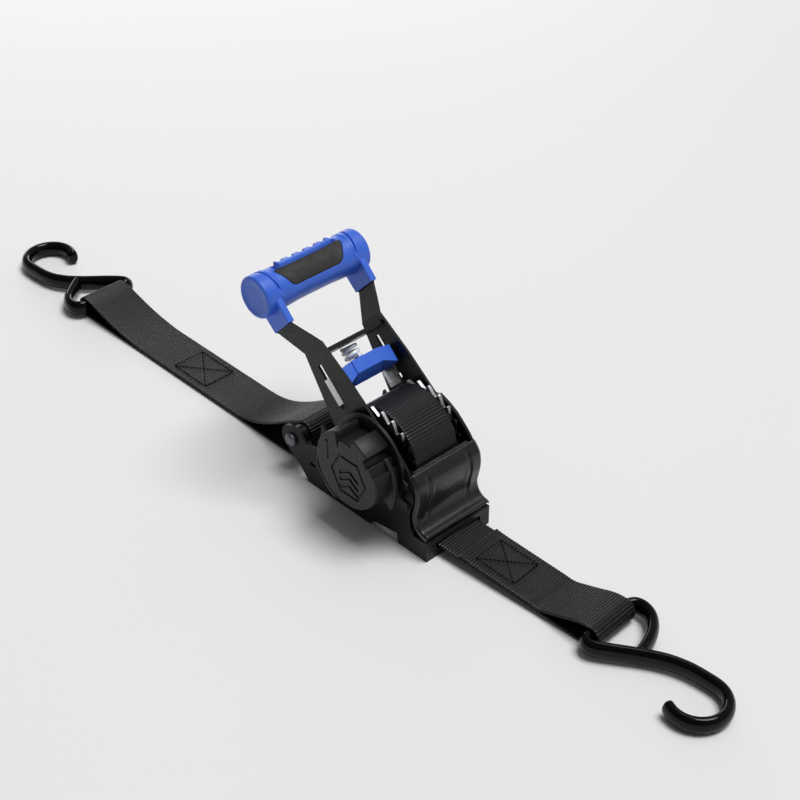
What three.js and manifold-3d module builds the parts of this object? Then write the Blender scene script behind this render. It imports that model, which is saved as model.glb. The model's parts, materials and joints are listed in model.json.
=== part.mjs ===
// Retractable ratchet tie-down strap: a wound strap with a hook at the front, a fixed sling with a
// hook at the rear, and a ratchet handle between them.
// Millimetres. +X runs along the strap to the front hook, +Z is up, the floor is z = 0 and the
// middle plane of the frame is y = 0. The spring case is on the -Y side.
import * as THREE from "three";
import { mergeVertices } from "three/addons/utils/BufferGeometryUtils.js";
import Module from "manifold-3d";

const wasm = await Module();
wasm.setup();

// ---- driving dimensions -------------------------------------------------------------------
const GAP = 0.3; // between pieces that touch
const WEB_HALF = 24; // half the width of the nominal 50 mm webbing
const WEB_THICK = 2.4;
const WIRE = { half: 5.2, tall: 8 }; // half width and half height of the coated hook bar

const FRAME_HALF = 37.5; // outer faces of the frame's side plates
const FRAME_PLATE = 2.8;
const FRAME_FRONT = 104;
const BASE_THICK = 2.5;
const GUIDE_TOP = 19.6; // top of the box that the strap runs out through
const PIN_PROUD = 2; // how far pins stand out of the frame

const SPINDLE = { x: 37, z: 75.5, r: 9 };
const WHEEL = { tip: 42, root: 36, teeth: 20, outer: 28.4, thick: 3 };
const ROLL_R = 40.5; // outside of the wound webbing

const HANDLE_ANGLE = 43.5; // degrees above the rear horizontal
const HANDLE_OUTER = 34.2; // outer faces of the handle's side plates
const HANDLE_PLATE = 2.5;
const LEG_OUTER = 49.5; // outer faces of the plates where they enter the grip
const GRIP = { reach: 163, drop: 3, half: 58, r: 19.2, waist: 17.2 };
const PAWL = { n: -5, thick: 5, nose: WHEEL.tip + 0.4, shoulder: 60, top: 76 };

const LEVER_PIN = { x: 82.5, z: 60, r: 3 };
const BOLT = { x: -66.5, z: 36.5, r: 4, sleeve: 9 };

const CASE = { base: 41, cover: 36.5, front: 66.4, wall: 2.6 };
// Flats on the cover's side, as [first angle, last angle, radius] in degrees above +X.
const CASE_FLATS = [[17, 46, 31], [76, 108, 28.5]];

const STRAP_FRONT_BAR = 264; // where the front strap loops round its hook
const STRAP_REAR_BAR = -401;
const BAR_Z = WEB_THICK + WIRE.tall + 2 * GAP;
const STRAP_YAW = 3; // degrees that the retracting strap turns aside where it leaves the guide
const HOOK = { centre: 103.5, r: 24.2, tip: 127, eye: WEB_HALF + 0.3 };
// Where each hook's bow sits sideways, and the way its shank and the closing side of its eye run.
const FRONT_HOOK = {
  side: 21,
  neck: -95,
  shank: [[82, -2.6], [65, 1.2], [50, 8], [34, 17.5], [20, 26.4]],
  closing: [[33.5, -15], [38, -3], [40.6, 8.1]],
};
const REAR_HOOK = {
  side: 4.3,
  neck: -98,
  shank: [[82, -19.2], [67, -16.5], [52, -8.5], [38, 4.5], [25, 18.5], [16.5, 26.8]],
  closing: [[34, -16], [41.7, -6]],
};

// ---- materials ----------------------------------------------------------------------------
const finish = (color, roughness, metalness) =>
  new THREE.MeshStandardMaterial({ color, roughness, metalness });
const BLACK_STEEL = finish(0x17181b, 0.45, 0.6);
const ZINC = finish(0xc9ccd0, 0.3, 1);
const BLUE = finish(0x2f5fd0, 0.42, 0);
const RUBBER = finish(0x1b1c1f, 0.8, 0);
const BLACK_PLASTIC = finish(0x1c1d20, 0.55, 0);
const WEBBING = finish(0x26272a, 0.85, 0);
const GLOSS_BLACK = finish(0x0b0b0d, 0.15, 0);
const SPRING_STEEL = finish(0x8f9399, 0.35, 1);

// ---- helpers ------------------------------------------------------------------------------
const part = new THREE.Group();

// The handle is drawn lying along -X with its upper side to +Z, then raised about the spindle.
const handleFrame = new THREE.Group();
handleFrame.position.set(SPINDLE.x, 0, SPINDLE.z);
handleFrame.rotation.y = THREE.MathUtils.degToRad(HANDLE_ANGLE);
part.add(handleFrame);

const yawFrame = new THREE.Group();
yawFrame.position.x = FRAME_FRONT;
yawFrame.rotation.z = THREE.MathUtils.degToRad(STRAP_YAW);
part.add(yawFrame);

function addPiece(name, geometry, material, parent = part) {
  const mesh = new THREE.Mesh(geometry, material);
  mesh.name = name;
  parent.add(mesh);
  return mesh;
}

function toSolid(geometry) {
  const bare = geometry.clone();
  bare.deleteAttribute("normal");
  bare.deleteAttribute("uv");
  const merged = mergeVertices(bare, 1e-4);
  const vertProperties = Float32Array.from(merged.attributes.position.array);
  const triVerts = Uint32Array.from(merged.index.array);
  return new wasm.Manifold(new wasm.Mesh({ numProp: 3, vertProperties, triVerts }));
}

function toGeometry(solid) {
  const mesh = solid.getMesh();
  const geometry = new THREE.BufferGeometry();
  geometry.setAttribute("position", new THREE.BufferAttribute(mesh.vertProperties, 3));
  geometry.setIndex(new THREE.BufferAttribute(mesh.triVerts, 1));
  geometry.computeVertexNormals();
  return geometry;
}

function cut(geometry, ...tools) {
  return toGeometry(tools.reduce((solid, tool) => solid.subtract(toSolid(tool)), toSolid(geometry)));
}

function join(...geometries) {
  return toGeometry(geometries.map(toSolid).reduce((all, next) => all.add(next)));
}

// An outline drawn in X and Z, with thickness from y = low to y = high.
function slabXZ(shape, low, high, curveSegments = 10) {
  const geometry = new THREE.ExtrudeGeometry(shape, {
    depth: high - low,
    bevelEnabled: false,
    curveSegments,
  });
  return geometry.rotateX(Math.PI / 2).translate(0, high, 0);
}

function polygon(points) {
  return new THREE.Shape(points.map(([x, z]) => new THREE.Vector2(x, z)));
}

function block(x0, x1, y0, y1, z0, z1) {
  const geometry = new THREE.BoxGeometry(x1 - x0, y1 - y0, z1 - z0);
  return geometry.translate((x0 + x1) / 2, (y0 + y1) / 2, (z0 + z1) / 2);
}

// A round bar along Y.
function barY(x, z, r, low, high, sides = 24) {
  const geometry = new THREE.CylinderGeometry(r, r, high - low, sides);
  return geometry.translate(x, (low + high) / 2, z);
}

// A turned piece about Y: profile pairs are [radius, y], closed or ending on the axis.
function turnedY(profile, x, z, segments = 36) {
  const points = profile.map(([r, y]) => new THREE.Vector2(r, y));
  return new THREE.LatheGeometry(points, segments).translate(x, 0, z);
}

function ringY(x, z, inner, outer, low, high, segments = 32) {
  const profile = [[inner, low], [outer, low], [outer, high], [inner, high], [inner, low]];
  return turnedY(profile, x, z, segments);
}

// Points along a circular arc in degrees, both ends included.
function arcPoints(cx, cy, r, from, to, steps) {
  return Array.from({ length: steps + 1 }, (_, i) => {
    const angle = THREE.MathUtils.degToRad(from + ((to - from) * i) / steps);
    return [cx + r * Math.cos(angle), cy + r * Math.sin(angle)];
  });
}

// A curve that follows a chain of points at even spacing.
class Chain extends THREE.Curve {
  constructor(points) {
    super();
    this.points = points;
    this.lengths = [0];
    for (let i = 1; i < points.length; i++) {
      this.lengths.push(this.lengths[i - 1] + points[i].distanceTo(points[i - 1]));
    }
  }

  getPoint(t, target = new THREE.Vector3()) {
    const distance = t * this.lengths.at(-1);
    const next = this.lengths.findIndex((length) => length >= distance - 1e-9);
    const i = Math.max(1, next);
    const span = this.lengths[i] - this.lengths[i - 1];
    return target.lerpVectors(this.points[i - 1], this.points[i], (distance - this.lengths[i - 1]) / span);
  }
}

function roundBar(curve, r, sides, steps) {
  const section = new THREE.Shape().absarc(0, 0, r, 0, 2 * Math.PI, false);
  return new THREE.ExtrudeGeometry(section, {
    steps,
    curveSegments: sides,
    extrudePath: curve,
  });
}

// Both faces of a strip that follows a centre line in X and Z, as one outline.
function stripOutline(centre, thickness) {
  const left = [];
  const right = [];
  centre.forEach(([x, z], i) => {
    const [x0, z0] = centre[Math.max(0, i - 1)];
    const [x1, z1] = centre[Math.min(centre.length - 1, i + 1)];
    const length = Math.hypot(x1 - x0, z1 - z0);
    const nx = (-(z1 - z0) / length) * (thickness / 2);
    const nz = ((x1 - x0) / length) * (thickness / 2);
    left.push([x + nx, z + nz]);
    right.push([x - nx, z - nz]);
  });
  return [...left, ...right.reverse()];
}

function curveXZ(points, samples) {
  const curve = new THREE.CatmullRomCurve3(points.map(([x, z]) => new THREE.Vector3(x, 0, z)));
  return curve.getPoints(samples).map((point) => [point.x, point.z]);
}

// ---- frame --------------------------------------------------------------------------------
function framePlateOutline() {
  const ear = arcPoints(BOLT.x, BOLT.z, 14, 215, 60, 8);
  const saddle = arcPoints(SPINDLE.x, SPINDLE.z, 30, 168, 84, 9);
  return polygon([
    [34, 0], [-46, 0], [-56, 13],
    ...ear,
    [-48, 41], [-33, 43], [-29, 56], [-26, 75], [-17, 68], [-5, 72],
    ...saddle,
    [44, 107.6], [54.5, 103.4], [64, 98], [71.5, 91.6], [78.6, 84.8], [82.5, 80],
    [88.4, 66.5], [88.4, 57], [85.2, 48], [83, 38], [84, 28], [87.5, GUIDE_TOP],
    [FRAME_FRONT, GUIDE_TOP], [FRAME_FRONT, 0], [69, 0], [68, 10], [39, 6],
  ]);
}

function framePlate(side) {
  const outer = FRAME_HALF;
  const inner = FRAME_HALF - FRAME_PLATE;
  const [low, high] = side < 0 ? [-outer, -inner] : [inner, outer];
  const through = (x, z, r) => barY(x, z, r, low - 1, high + 1);
  return cut(
    slabXZ(framePlateOutline(), low, high),
    through(SPINDLE.x, SPINDLE.z, SPINDLE.r + GAP),
    through(LEVER_PIN.x, LEVER_PIN.z, LEVER_PIN.r + GAP),
    through(BOLT.x, BOLT.z, BOLT.r + GAP),
    block(-43, -36, low - 1, high + 1, 21, 24.5),
    ...(side < 0 ? rivetPlaces().map(([x, z]) => through(x, z, 1.6 + GAP)) : []),
  );
}

function buildFrame() {
  const inside = FRAME_HALF - FRAME_PLATE - GAP;
  const web = WEB_HALF + 2.5;
  addPiece("frame_plate_left", framePlate(-1), BLACK_STEEL);
  addPiece("frame_plate_right", framePlate(1), BLACK_STEEL);
  addPiece("frame_base_plate", block(-42, 34, -inside, inside, 0, BASE_THICK), BLACK_STEEL);

  const guide = cut(
    join(
      block(70, FRAME_FRONT, -inside, inside, 0, BASE_THICK),
      block(FRAME_FRONT - 2.8, FRAME_FRONT, -inside, inside, 1, GUIDE_TOP),
      block(92, FRAME_FRONT, -inside, inside, GUIDE_TOP - BASE_THICK, GUIDE_TOP),
    ),
    block(90, FRAME_FRONT + 5, -web, web, 8, 14.2),
  );
  addPiece("front_strap_guide", guide, BLACK_STEEL);
}

// ---- rear bolt ----------------------------------------------------------------------------
function buildRearBolt() {
  const face = FRAME_HALF + GAP;
  const { x, z, r } = BOLT;
  const bolt = [
    [0, -face - 4.2], [4.2, -face - 4.2], [6.3, -face - 2.4], [6.3, -face], [r, -face],
    [r, face + 7], [0, face + 7],
  ];
  addPiece("rear_bolt", turnedY(bolt, x, z, 24), ZINC);
  addPiece("rear_bolt_washer", ringY(x, z, r + GAP, 8, face, face + 1.2), ZINC);
  const nut = cut(barY(x, z, 7.4, face + 1.5, face + 6.5, 6), barY(x, z, r + GAP, face, face + 8));
  addPiece("rear_bolt_nut", nut, ZINC);
  const half = FRAME_HALF - FRAME_PLATE - GAP;
  addPiece("rear_sleeve", ringY(x, z, r + GAP, BOLT.sleeve, -half, half), BLACK_STEEL);
}

// ---- spool --------------------------------------------------------------------------------
function spindleHalf(side) {
  const [from, to] = side > 0 ? [11, 169] : [191, 349];
  const low = -FRAME_HALF - 22;
  return slabXZ(polygon(arcPoints(SPINDLE.x, SPINDLE.z, SPINDLE.r, from, to, 14)), low, FRAME_HALF + 4.5);
}

function ratchetOutline() {
  const points = [];
  for (let i = 0; i < WHEEL.teeth; i++) {
    const start = (360 / WHEEL.teeth) * i;
    points.push(...arcPoints(SPINDLE.x, SPINDLE.z, WHEEL.root, start, start + 2, 1));
    points.push(...arcPoints(SPINDLE.x, SPINDLE.z, WHEEL.tip, start + 14, start + 16, 1));
  }
  return polygon(points);
}

function ratchetWheel(side) {
  const { outer, thick } = WHEEL;
  const [low, high] = side < 0 ? [-outer, -outer + thick] : [outer - thick, outer];
  return cut(
    slabXZ(ratchetOutline(), low, high),
    barY(SPINDLE.x, SPINDLE.z, SPINDLE.r + GAP, low - 1, high + 1, 28),
  );
}

// The wound webbing, with the end that passes between the two halves of the spindle.
function webbingRoll() {
  const core = SPINDLE.r + GAP;
  return join(
    ringY(SPINDLE.x, SPINDLE.z, core, ROLL_R, -WEB_HALF, WEB_HALF, 48),
    block(SPINDLE.x - core - 1, SPINDLE.x + core + 1, -WEB_HALF, WEB_HALF, SPINDLE.z - 1.2, SPINDLE.z + 1.2),
  );
}

function buildSpool() {
  const { x, z, r } = SPINDLE;
  addPiece("spindle_half_upper", spindleHalf(1), ZINC);
  addPiece("spindle_half_lower", spindleHalf(-1), ZINC);
  addPiece("ratchet_wheel_left", ratchetWheel(-1), ZINC);
  addPiece("ratchet_wheel_right", ratchetWheel(1), ZINC);
  addPiece("webbing_roll", webbingRoll(), WEBBING);
  const face = FRAME_HALF + GAP;
  addPiece("spindle_washer", ringY(x, z, r + GAP, 14, face, face + 1.2), ZINC);
  addPiece("spindle_end_ring", ringY(x, z, r + GAP, 12, face + 1.5, face + 3.5), BLACK_STEEL);
  const arbor = ringY(x, z, r + GAP, 12.5, -FRAME_HALF - 22, -FRAME_HALF - 4.5);
  addPiece("spring_arbor", arbor, BLACK_PLASTIC);
}

// ---- spring case --------------------------------------------------------------------------
function rivetPlaces() {
  return arcPoints(SPINDLE.x, SPINDLE.z, 29.5, 60, 300, 2);
}

// The cover's outline: a circle with flats cut into its side.
function coverOutline(radius) {
  const points = arcPoints(SPINDLE.x, SPINDLE.z, radius, CASE_FLATS[1][1], CASE_FLATS[0][0] + 360, 60);
  for (const [first, last, flat] of CASE_FLATS) {
    points.push(...arcPoints(SPINDLE.x, SPINDLE.z, flat + radius - CASE.cover, first, last, 6));
    if (first === CASE_FLATS[0][0]) {
      points.push(...arcPoints(SPINDLE.x, SPINDLE.z, radius, last, CASE_FLATS[1][0], 6));
    }
  }
  return polygon(points);
}

// A crescent on the case's front lower side that widens downwards.
function crescent() {
  const steps = 14;
  const outer = Array.from({ length: steps + 1 }, (_, i) => {
    const turn = i / steps;
    return arcPoints(SPINDLE.x, SPINDLE.z, 34 + 13 * turn, 34 - 74 * turn, 0, 1)[0];
  });
  return polygon([...outer, ...arcPoints(SPINDLE.x, SPINDLE.z, CASE.cover - 2, -40, 14, 10)]);
}

function buildSpringCase() {
  const back = -FRAME_HALF - GAP;
  const { x, z, r } = SPINDLE;
  const basePlate = cut(
    join(
      barY(x, z, CASE.base, back - 2.8, back, 48),
      slabXZ(polygon([[x, z - 20], [x + 46, z - 30], [x + 46, z - 4], [x, z + 20]]), back - 2.8, back),
    ),
    barY(x, z, r + GAP, back - 5, back + 1),
    barY(LEVER_PIN.x, LEVER_PIN.z, 7, back - 5, back + 1),
    ...rivetPlaces().map(([px, pz]) => barY(px, pz, 1.6 + GAP, back - 5, back + 1, 12)),
  );
  addPiece("spring_case_base", basePlate, BLACK_PLASTIC);

  const rim = back - 2.8 - GAP;
  const cap = cut(
    join(
      slabXZ(coverOutline(CASE.cover), -CASE.front, rim),
      slabXZ(crescent(), rim - 9, rim - 5),
    ),
    slabXZ(coverOutline(CASE.cover - CASE.wall), -CASE.front + CASE.wall, rim + 1),
  );
  addPiece("spring_cap", cap, BLACK_PLASTIC);
  addPiece("return_spring", slabXZ(spiralOutline(), -CASE.front + 5, rim - 4), SPRING_STEEL);
  rivetPlaces().forEach(([px, pz], i) => {
    const plate = -FRAME_HALF + FRAME_PLATE;
    const profile = [
      [0, back - 4.4], [2.6, back - 4.4], [3.4, back - 3.1], [1.6, back - 3.1], [1.6, plate - 0.1], [0, plate - 0.1],
    ];
    addPiece(`case_rivet_${i + 1}`, turnedY(profile, px, pz, 12), ZINC);
  });
}

// Flat spiral spring wound from the arbor out to the case wall.
function spiralOutline() {
  const turns = 4.2;
  const steps = 130;
  const inner = 13.8;
  const pitch = (CASE.cover - 12.5 - inner) / turns;
  const centre = Array.from({ length: steps + 1 }, (_, i) => {
    const turn = (turns * i) / steps;
    const radius = inner + pitch * turn;
    const angle = 2 * Math.PI * turn;
    return [SPINDLE.x + radius * Math.cos(angle), SPINDLE.z + radius * Math.sin(angle)];
  });
  return polygon(stripOutline(centre, 0.8));
}

// ---- release lever ------------------------------------------------------------------------
function leverOutline() {
  const outer = curveXZ([[84.5, 81.5], [93, 70], [94.2, 58], [90.4, 38.5], [95, 28.6], [104.5, 25]], 18);
  const inner = curveXZ([[103.5, 22.8], [93.2, 26.4], [87.8, 38], [91.4, 58], [90.6, 68.5], [82.9, 79.8]], 18);
  return polygon([...outer, ...inner]);
}

function buildReleaseLever() {
  const { x, z, r } = LEVER_PIN;
  const half = FRAME_HALF + 0.2;
  const earOuter = HANDLE_OUTER - 0.2;
  const earInner = earOuter - 2.2;
  const ear = polygon([
    ...arcPoints(x, z, 6, 120, 250, 6), [91, 50], [92.6, 58], [90.5, 67], [86, 66.5],
  ]);
  const lever = cut(
    join(
      slabXZ(leverOutline(), -half, half),
      slabXZ(ear, -earOuter, -earInner),
      slabXZ(ear, earInner, earOuter),
    ),
    barY(x, z, r + GAP, -half, half),
  );
  addPiece("release_lever", lever, BLACK_STEEL);

  const nose = arcPoints(SPINDLE.x, SPINDLE.z, WHEEL.tip + 0.5, -3, 5, 2);
  const pawl = polygon([...arcPoints(x, z, 5, 150, 350, 8), [87.3, 66], [85, 73], [81.5, 80], ...nose.reverse(), [78.9, 66]]);
  const pawlHalf = earInner - GAP;
  const blade = cut(
    slabXZ(pawl, -pawlHalf, pawlHalf),
    barY(x, z, r + GAP, -pawlHalf - 1, pawlHalf + 1),
    block(60, 100, -10, 10, z - 12, z + 8),
  );
  addPiece("locking_pawl", blade, ZINC);

  const pinEnd = FRAME_HALF + PIN_PROUD;
  addPiece("lever_pin", barY(x, z, r, -pinEnd, pinEnd), BLACK_STEEL);
  addPiece("lever_spring", leverSpring(), SPRING_STEEL);
  const clipLow = FRAME_HALF + GAP;
  for (const side of [-1, 1]) {
    const [low, high] = side < 0 ? [-clipLow - 1.2, -clipLow] : [clipLow, clipLow + 1.2];
    const clip = cut(
      ringY(x, z, r + GAP, 5.6, low, high, 24),
      block(x - 8, x, low - 1, high + 1, z - 1.6, z + 1.6),
    );
    addPiece(`lever_pin_clip_${side < 0 ? "left" : "right"}`, clip, BLACK_STEEL);
  }
}

// Torsion spring round the lever's pin.
function leverSpring() {
  const turns = 5;
  const steps = turns * 12;
  const points = Array.from({ length: steps + 1 }, (_, i) => {
    const angle = (2 * Math.PI * turns * i) / steps;
    const y = -7 + (14 * i) / steps;
    return new THREE.Vector3(LEVER_PIN.x + 4.1 * Math.cos(angle), y, LEVER_PIN.z + 4.1 * Math.sin(angle));
  });
  return roundBar(new Chain(points), 0.7, 3, steps);
}

// ---- handle -------------------------------------------------------------------------------
// In the handle's frame -X runs up the handle and +Z is its upper side: at(s, n) is the point
// s along the handle and n above its middle line.
const at = (s, n) => [-s, n];

const KINK = 104;
const LEG_START = 129.5;

function handlePlate(side) {
  const disc = arcPoints(0, 0, 31, 72, -62, 10);
  const blade = polygon([...disc, at(38, -32), at(KINK, -15.5), at(KINK, 14.5), at(63, 22)]);
  const outer = HANDLE_OUTER;
  const inner = HANDLE_OUTER - HANDLE_PLATE;
  const [low, high] = side < 0 ? [-outer, -inner] : [inner, outer];
  const slot = block(-88, -46, low - 1, high + 1, PAWL.n - PAWL.thick / 2 - 0.4, PAWL.n + PAWL.thick / 2 + 0.4);
  const flat = cut(slabXZ(blade, low, high), slot, barY(0, 0, SPINDLE.r + GAP, low - 1, high + 1));
  return join(flat, plateOffset(side), plateTongue(side));
}

// The sloping step that takes the plate out to the width of the grip's legs.
function plateOffset(side) {
  const inner = HANDLE_OUTER - HANDLE_PLATE;
  const legInner = LEG_OUTER - 6 + 1.7;
  const profile = new THREE.Shape([
    new THREE.Vector2(KINK - 1, inner * side),
    new THREE.Vector2(LEG_START, legInner * side),
    new THREE.Vector2(LEG_START, (legInner + HANDLE_PLATE) * side),
    new THREE.Vector2(KINK - 1, HANDLE_OUTER * side),
  ]);
  const ribbon = new THREE.ExtrudeGeometry(profile, { depth: 60, bevelEnabled: false });
  ribbon.translate(0, 0, -30).scale(-1, 1, 1);
  const mirrored = toSolid(flipFaces(ribbon));
  const sides = slabXZ(
    polygon([at(KINK - 1, -15.7), at(KINK - 1, 14.6), at(113, 13), at(LEG_START, 9.5), at(LEG_START, -15)]),
    Math.min(side * 28, side * 52),
    Math.max(side * 28, side * 52),
  );
  return toGeometry(mirrored.intersect(toSolid(sides)));
}

function flipFaces(geometry) {
  const flipped = geometry.index ? geometry.toNonIndexed() : geometry.clone();
  const position = flipped.attributes.position;
  const corner = new THREE.Vector3();
  const other = new THREE.Vector3();
  for (let i = 0; i < position.count; i += 3) {
    corner.fromBufferAttribute(position, i + 1);
    other.fromBufferAttribute(position, i + 2);
    position.setXYZ(i + 1, other.x, other.y, other.z);
    position.setXYZ(i + 2, corner.x, corner.y, corner.z);
  }
  return flipped;
}

// The straight end that sits inside the grip's leg.
function plateTongue(side) {
  const inner = LEG_OUTER - 6 + 1.7;
  const low = Math.min(side * inner, side * (inner + HANDLE_PLATE));
  return block(-150, -LEG_START + 0.5, low, low + HANDLE_PLATE, -16, 10);
}

function gripBody() {
  const { reach, drop, half, r, waist } = GRIP;
  const profile = [
    [0, -half], [r - 2.2, -half], [r, -half + 2], [r, -half + 17], [r - 1, -half + 19.5], [waist, -14],
    [waist, 14], [r - 1, half - 19.5], [r, half - 17], [r, half - 2], [r - 2.2, half], [0, half],
  ];
  const barrel = turnedY(profile, -reach, -drop, 36);
  const inner = LEG_OUTER - 6;
  const leg = (low) => slabXZ(polygon([
    at(130.5, -17), at(130.5, 11), at(146, 12), at(reach, 11), at(reach, -17), at(146, -19),
  ]), low, low + 6);
  const pocket = (low) => block(-150.5, -100, low + 1.4, low + 4.5, -16.4, 10.4);
  return cut(
    join(barrel, leg(-LEG_OUTER), leg(inner)),
    pocket(-LEG_OUTER),
    pocket(inner),
    gripPadShape(PAD.depth, GAP),
  );
}

const PAD = { half: 38, depth: 2, from: 71, to: 134 };

// A curved panel let into the barrel: its bed is deeper than the pad by the gap.
function gripPadShape(depth, gap) {
  const { reach, drop, waist } = GRIP;
  const inner = waist - depth - gap;
  const outer = arcPoints(-reach, -drop, waist + 4, PAD.from, PAD.to, 14);
  const bed = arcPoints(-reach, -drop, inner, PAD.to, PAD.from, 14);
  return slabXZ(polygon([...outer, ...bed]), -PAD.half - gap, PAD.half + gap);
}

function gripPad() {
  const { reach, drop, waist } = GRIP;
  const outer = arcPoints(-reach, -drop, waist + 0.6, PAD.from + 1, PAD.to - 1, 14);
  const bed = arcPoints(-reach, -drop, waist - PAD.depth, PAD.to - 1, PAD.from + 1, 14);
  return slabXZ(polygon([...outer, ...bed]), -PAD.half, PAD.half);
}

function buildHandle() {
  const inside = HANDLE_OUTER - HANDLE_PLATE - GAP;
  addPiece("handle_plate_left", handlePlate(-1), BLACK_STEEL, handleFrame);
  addPiece("handle_plate_right", handlePlate(1), BLACK_STEEL, handleFrame);
  addPiece("handle_crossbar", block(-97, -93, -inside, inside, -11, 12.5), BLACK_STEEL, handleFrame);
  addPiece("grip_body", gripBody(), BLUE, handleFrame);
  addPiece("grip_pad", gripPad(), RUBBER, handleFrame);
}

// ---- drive pawl, trigger and spring -------------------------------------------------------
function drivePawl() {
  const { n, thick, nose, shoulder, top } = PAWL;
  const low = n - thick / 2;
  const high = n + thick / 2;
  const leg = WHEEL.outer;
  const ear = HANDLE_OUTER - 0.1;
  return join(
    block(-top, -shoulder + 1, -leg, leg, low, high),
    block(-shoulder, -nose, -leg, -19, low, high),
    block(-shoulder, -nose, 19, leg, low, high),
    block(-74, -50, -ear, -leg + 1, low, high),
    block(-74, -50, leg - 1, ear, low, high),
    block(-82, -top + 1, -3.2, 3.2, low, high),
  );
}

function trigger() {
  const foot = PAWL.n + PAWL.thick / 2 + GAP;
  const body = slabXZ(polygon([
    at(60, foot), at(60.5, 8), at(63, 12.5), at(76, 14), at(77.5, 11), at(77.5, foot),
  ]), -28.5, 28.5);
  const corner = (side) => slabXZ(polygon([at(50, -20), at(50, 30), at(90, 30), at(90, -20)]), -8, 8)
    .rotateZ(side * 0.42)
    .translate(-55, side * 33.6, 0);
  return cut(body, corner(1), corner(-1));
}

// Compression spring between the crossbar and the pawl, round the pawl's stem.
function pawlSpring() {
  const turns = 4;
  const steps = turns * 16;
  const from = 79.2;
  const length = 91.3 - from;
  const points = Array.from({ length: steps + 1 }, (_, i) => {
    const angle = (2 * Math.PI * turns * i) / steps;
    const s = from + (length * i) / steps;
    return new THREE.Vector3(-s, 6.3 * Math.cos(angle), PAWL.n + 6.3 * Math.sin(angle));
  });
  return roundBar(new Chain(points), 1.1, 3, steps);
}

function buildPawl() {
  addPiece("drive_pawl", drivePawl(), ZINC, handleFrame);
  addPiece("trigger", trigger(), BLUE, handleFrame);
  addPiece("pawl_spring", pawlSpring(), SPRING_STEEL, handleFrame);
}

// ---- straps -------------------------------------------------------------------------------
const FLOOR_LAYER = GAP + WEB_THICK / 2; // middle height of webbing lying on the floor
const TOP_LAYER = FLOOR_LAYER + WEB_THICK;

// Outline of a strap's side view with holes where its layers part, extruded to the web's width.
function strapSolid(outline, holes) {
  const shape = polygon(outline);
  holes.forEach((hole) => shape.holes.push(polygon(hole)));
  return slabXZ(shape, -WEB_HALF, WEB_HALF);
}

function buildFrontStrap() {
  const bar = STRAP_FRONT_BAR;
  const inner = WIRE.tall + GAP;
  const outer = inner + WEB_THICK;
  const low = GAP;
  const exit = 11;
  // The strap's underside slopes from the guide's slot down to the floor under the hook's bar.
  const level = 110; // up to here the strap runs level
  const drop = exit - WEB_THICK / 2 - low;
  const under = (x) => low + drop * (1 - THREE.MathUtils.clamp((x - level) / (bar - 10 - level), 0, 1));
  const fold = 212; // where the two layers part round the hook's bar
  const outline = [
    [36, under(36)], [level, under(level)], [254, under(254)], [bar, low],
    ...arcPoints(bar, BAR_Z, outer, -90, 90, 14),
    [252, BAR_Z + outer - 1.2], [238, 15.6], [fold, under(fold) + 2 * WEB_THICK],
    [126, under(126) + 2 * WEB_THICK], [125, under(125) + WEB_THICK], [36, under(36) + WEB_THICK],
  ];
  const loop = [
    [fold + 8, under(fold + 8) + WEB_THICK], [254, under(254) + WEB_THICK], [bar, low + WEB_THICK],
    ...arcPoints(bar, BAR_Z, inner, -88, 88, 12),
    [252, BAR_Z + inner - 1.2], [238, 13.2],
  ];
  placeOnYaw(addPiece("front_strap", strapSolid(outline, [loop]), WEBBING, yawFrame));
}

// Sets a piece drawn about the strap's axis into the group that turns aside at the guide.
function placeOnYaw(mesh, x = 0) {
  mesh.position.x = x - FRAME_FRONT;
}

// Slack end of the webbing between the roll and the strap that runs out through the guide.
function buildStrapLead() {
  const centre = curveXZ([[30, SPINDLE.z - ROLL_R - 1.6], [22, 32.5], [15.5, 24], [20, 14.4], [34.5, 11]], 16);
  addPiece("strap_lead", slabXZ(polygon(stripOutline(centre, WEB_THICK)), -WEB_HALF, WEB_HALF), WEBBING);
}

function buildRearStrap() {
  const bar = STRAP_REAR_BAR;
  const inner = WIRE.tall + GAP;
  const outer = inner + WEB_THICK;
  const top = TOP_LAYER + WEB_THICK / 2;
  const low = GAP;
  const sleeveIn = BOLT.sleeve + GAP;
  const sleeveOut = sleeveIn + WEB_THICK;
  const outline = [
    [bar, low], [-92, low], [-76, 3.2], [-62, 11.5], [-55.6, 23], [BOLT.x + sleeveOut, BOLT.z],
    ...arcPoints(BOLT.x, BOLT.z, sleeveOut, 12, 122, 9),
    [-92, 35], [-122, 17.5], [-140, 9], [-160, top], [-338, top],
    [-364, 12], [-386, BAR_Z + outer - 1.6],
    ...arcPoints(bar, BAR_Z, outer, 90, 268, 14),
  ];
  const sling = [
    [-150, low + WEB_THICK + 0.2], [-92, low + WEB_THICK], [-78, 5.6], [-65, 13.2],
    [-58.3, 24], [BOLT.x + sleeveIn, BOLT.z],
    ...arcPoints(BOLT.x, BOLT.z, sleeveIn, 12, 122, 9),
    [-93, 32.3], [-123, 14.9], [-141, 6.4],
  ];
  const loop = [
    [-356, low + WEB_THICK], [bar, low + WEB_THICK],
    ...arcPoints(bar, BAR_Z, inner, 268, 92, 12),
    [-386, BAR_Z + inner - 1.6], [-364, 9.6],
  ];
  addPiece("rear_strap", strapSolid(outline, [sling, loop]), WEBBING);
}

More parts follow.
